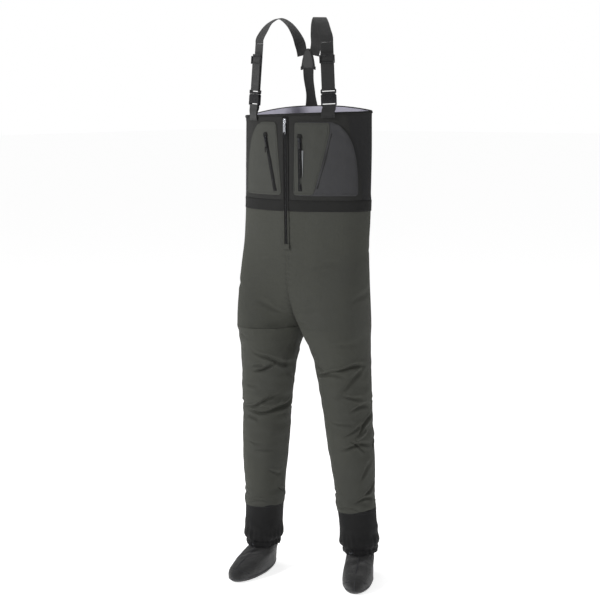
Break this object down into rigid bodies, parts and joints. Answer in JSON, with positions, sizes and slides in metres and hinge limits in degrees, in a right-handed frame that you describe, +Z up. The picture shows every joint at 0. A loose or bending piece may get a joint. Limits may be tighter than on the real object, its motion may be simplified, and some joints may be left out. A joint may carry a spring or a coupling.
{
  "type": "chest waders",
  "caption": "Stockingfoot chest waders: zipped bib with two chest pockets on buckled braces, two bending legs, gaiters and neoprene booties.",
  "frame": {"origin": "midway between the tops of the two shoulder straps, where the wearer's shoulders carry the waders", "axes": "+Z up, -Y the way the wearer faces, +X the wearer's left"},
  "size_m": [0.4936, 0.3703, 1.731],
  "materials": {
    "shell_fabric": "matt laminated woven shell",
    "bib_fabric": "matt laminated woven shell, darker",
    "side_fabric": "matt woven stretch panel",
    "pocket_fabric": "matt laminated woven shell",
    "zip_coil": "moulded zip coil, woven tape and cord pulls",
    "metal": "plated slider and hook",
    "gaiter_fabric": "coarse woven gaiter cloth",
    "neoprene": "neoprene with a knitted face",
    "webbing": "ribbed elastic webbing",
    "acetal": "moulded acetal",
    "yoke_panel": "padded woven yoke"
  },
  "bodies": {
    "trunk": {"bib_front_right": "bib_fabric", "bib_side_right": "side_fabric", "bib_front_left": "bib_fabric", "bib_side_left": "side_fabric", "bib_back": "side_fabric", "rim_binding": "bib_fabric", "waist_band": "bib_fabric", "pocket_panel_right": "pocket_fabric", "pocket_panel_left": "pocket_fabric", "zip_tape_right": "zip_coil", "zip_tape_left": "zip_coil", "zip_teeth": "zip_coil", "pocket_zip_right": "zip_coil", "pocket_zip_left": "zip_coil", "lower_body_right": "shell_fabric", "lower_body_left": "shell_fabric", "buckle_female_right": "acetal", "anchor_web_right": "webbing", "shoulder_strap_right": "webbing", "buckle_female_left": "acetal", "anchor_web_left": "webbing", "shoulder_strap_left": "webbing", "yoke_patch": "yoke_panel", "back_strap": "webbing"},
    "zip_slider": {"zip_slider": "metal"},
    "zip_pull": {"zip_pull": "zip_coil"},
    "pocket_slider_right": {"pocket_slider_right": "metal"},
    "pocket_pull_right": {"pocket_pull_right": "zip_coil"},
    "clip_right": {"buckle_male_right": "acetal", "adjuster_web_right": "webbing"},
    "glide_right": {"tri_glide_right": "acetal"},
    "prong_outer_right": {"prong_outer_right": "acetal"},
    "prong_inner_right": {"prong_inner_right": "acetal"},
    "thigh_right": {"thigh_top_right": "shell_fabric", "thigh_right": "shell_fabric"},
    "shin_right": {"knee_right": "shell_fabric", "shin_right": "shell_fabric", "gaiter_right": "gaiter_fabric"},
    "foot_right": {"bootie_shaft_right": "neoprene", "gaiter_hem_right": "gaiter_fabric", "lace_hook_right": "metal", "bootie_upper_right": "neoprene", "bootie_sole_right": "neoprene"},
    "pocket_slider_left": {"pocket_slider_left": "metal"},
    "pocket_pull_left": {"pocket_pull_left": "zip_coil"},
    "clip_left": {"buckle_male_left": "acetal", "adjuster_web_left": "webbing"},
    "glide_left": {"tri_glide_left": "acetal"},
    "prong_outer_left": {"prong_outer_left": "acetal"},
    "prong_inner_left": {"prong_inner_left": "acetal"},
    "thigh_left": {"thigh_top_left": "shell_fabric", "thigh_left": "shell_fabric"},
    "shin_left": {"knee_left": "shell_fabric", "shin_left": "shell_fabric", "gaiter_left": "gaiter_fabric"},
    "foot_left": {"bootie_shaft_left": "neoprene", "gaiter_hem_left": "gaiter_fabric", "lace_hook_left": "metal", "bootie_upper_left": "neoprene", "bootie_sole_left": "neoprene"}
  },
  "joints": [
    {"name": "main_zip_slide", "type": "slide", "parent": "trunk", "child": "zip_slider", "axis": [-0.0201, 0.0506, -0.9985], "range_m": [0, 0.36]},
    {"name": "main_pull_swing", "type": "hinge", "parent": "zip_slider", "child": "zip_pull", "pos_m": [-0.00033, -0.09146, -0.31263], "axis": [-0.9998, -0.001, 0.0201], "range_deg": [0, 80]},
    {"name": "pocket_zip_slide_right", "type": "slide", "parent": "trunk", "child": "pocket_slider_right", "axis": [0.197, 0.0025, -0.9804], "range_m": [0, 0.14]},
    {"name": "pocket_pull_swing_right", "type": "hinge", "parent": "pocket_slider_right", "child": "pocket_pull_right", "pos_m": [-0.07427, -0.08118, -0.36604], "axis": [-0.9577, 0.2144, -0.1919], "range_deg": [0, 80]},
    {"name": "pocket_zip_slide_left", "type": "slide", "parent": "trunk", "child": "pocket_slider_left", "axis": [-0.0128, 0.0454, -0.9989], "range_m": [0, 0.14]},
    {"name": "pocket_pull_swing_left", "type": "hinge", "parent": "pocket_slider_left", "child": "pocket_pull_left", "pos_m": [0.0482, -0.08712, -0.3703], "axis": [-0.9854, -0.1701, 0.0049], "range_deg": [0, 80]},
    {"name": "buckle_release_right", "type": "slide", "parent": "trunk", "child": "clip_right", "axis": [0.0637, 0.0265, 0.9976], "range_m": [0, 0.03], "deforming": ["shoulder_strap_right"]},
    {"name": "strap_adjust_right", "type": "slide", "parent": "clip_right", "child": "glide_right", "axis": [0.0637, 0.0265, 0.9976], "range_m": [-0.06, 0.004]},
    {"name": "prong_squeeze_outer_right", "type": "hinge", "parent": "clip_right", "child": "prong_outer_right", "pos_m": [-0.14286, -0.04294, -0.22848], "axis": [-0.3742, -0.9261, 0.0485], "range_deg": [0, 9], "stiffness_Nm_per_rad": 0.3},
    {"name": "prong_squeeze_inner_right", "type": "hinge", "parent": "clip_right", "child": "prong_inner_right", "pos_m": [-0.1127, -0.05521, -0.23008], "axis": [0.3742, 0.9261, -0.0485], "range_deg": [0, 9], "stiffness_Nm_per_rad": 0.3},
    {"name": "buckle_release_left", "type": "slide", "parent": "trunk", "child": "clip_left", "axis": [-0.0637, 0.0265, 0.9976], "range_m": [0, 0.03], "deforming": ["shoulder_strap_left"]},
    {"name": "strap_adjust_left", "type": "slide", "parent": "clip_left", "child": "glide_left", "axis": [-0.0637, 0.0265, 0.9976], "range_m": [-0.06, 0.004]},
    {"name": "prong_squeeze_outer_left", "type": "hinge", "parent": "clip_left", "child": "prong_outer_left", "pos_m": [0.14286, -0.04294, -0.22848], "axis": [-0.3742, 0.9261, -0.0485], "range_deg": [0, 9], "stiffness_Nm_per_rad": 0.3},
    {"name": "prong_squeeze_inner_left", "type": "hinge", "parent": "clip_left", "child": "prong_inner_left", "pos_m": [0.1127, -0.05521, -0.23008], "axis": [0.3742, -0.9261, 0.0485], "range_deg": [0, 9], "stiffness_Nm_per_rad": 0.3},
    {"name": "hip_bend_right", "type": "hinge", "parent": "trunk", "child": "thigh_right", "pos_m": [-0.101, -0.007, -0.831], "axis": [-1, 0, 0], "range_deg": [-12, 60], "deforming": ["thigh_top_right"]},
    {"name": "knee_bend_right", "type": "hinge", "parent": "thigh_right", "child": "shin_right", "pos_m": [-0.112, -0.007, -1.151], "axis": [1, 0, 0], "range_deg": [0, 80], "deforming": ["knee_right"]},
    {"name": "ankle_bend_right", "type": "hinge", "parent": "shin_right", "child": "foot_right", "pos_m": [-0.128, -0.007, -1.626], "axis": [0.9994, 0.0349, 0], "range_deg": [-18, 30], "deforming": ["bootie_shaft_right", "gaiter_hem_right"]},
    {"name": "hip_bend_left", "type": "hinge", "parent": "trunk", "child": "thigh_left", "pos_m": [0.101, 0.066, -0.831], "axis": [-1, 0, 0], "range_deg": [-12, 60], "deforming": ["thigh_top_left"]},
    {"name": "knee_bend_left", "type": "hinge", "parent": "thigh_left", "child": "shin_left", "pos_m": [0.1295, 0.066, -1.151], "axis": [1, 0, 0], "range_deg": [0, 80], "deforming": ["knee_left"]},
    {"name": "ankle_bend_left", "type": "hinge", "parent": "shin_left", "child": "foot_left", "pos_m": [0.1815, 0.066, -1.626], "axis": [0.9272, 0.3746, 0], "range_deg": [-18, 30], "deforming": ["bootie_shaft_left", "gaiter_hem_left"]}
  ],
  "couplings": [
    {"joint": "prong_squeeze_inner_right", "follows": "prong_squeeze_outer_right", "ratio": 1},
    {"joint": "prong_squeeze_inner_left", "follows": "prong_squeeze_outer_left", "ratio": 1}
  ]
}
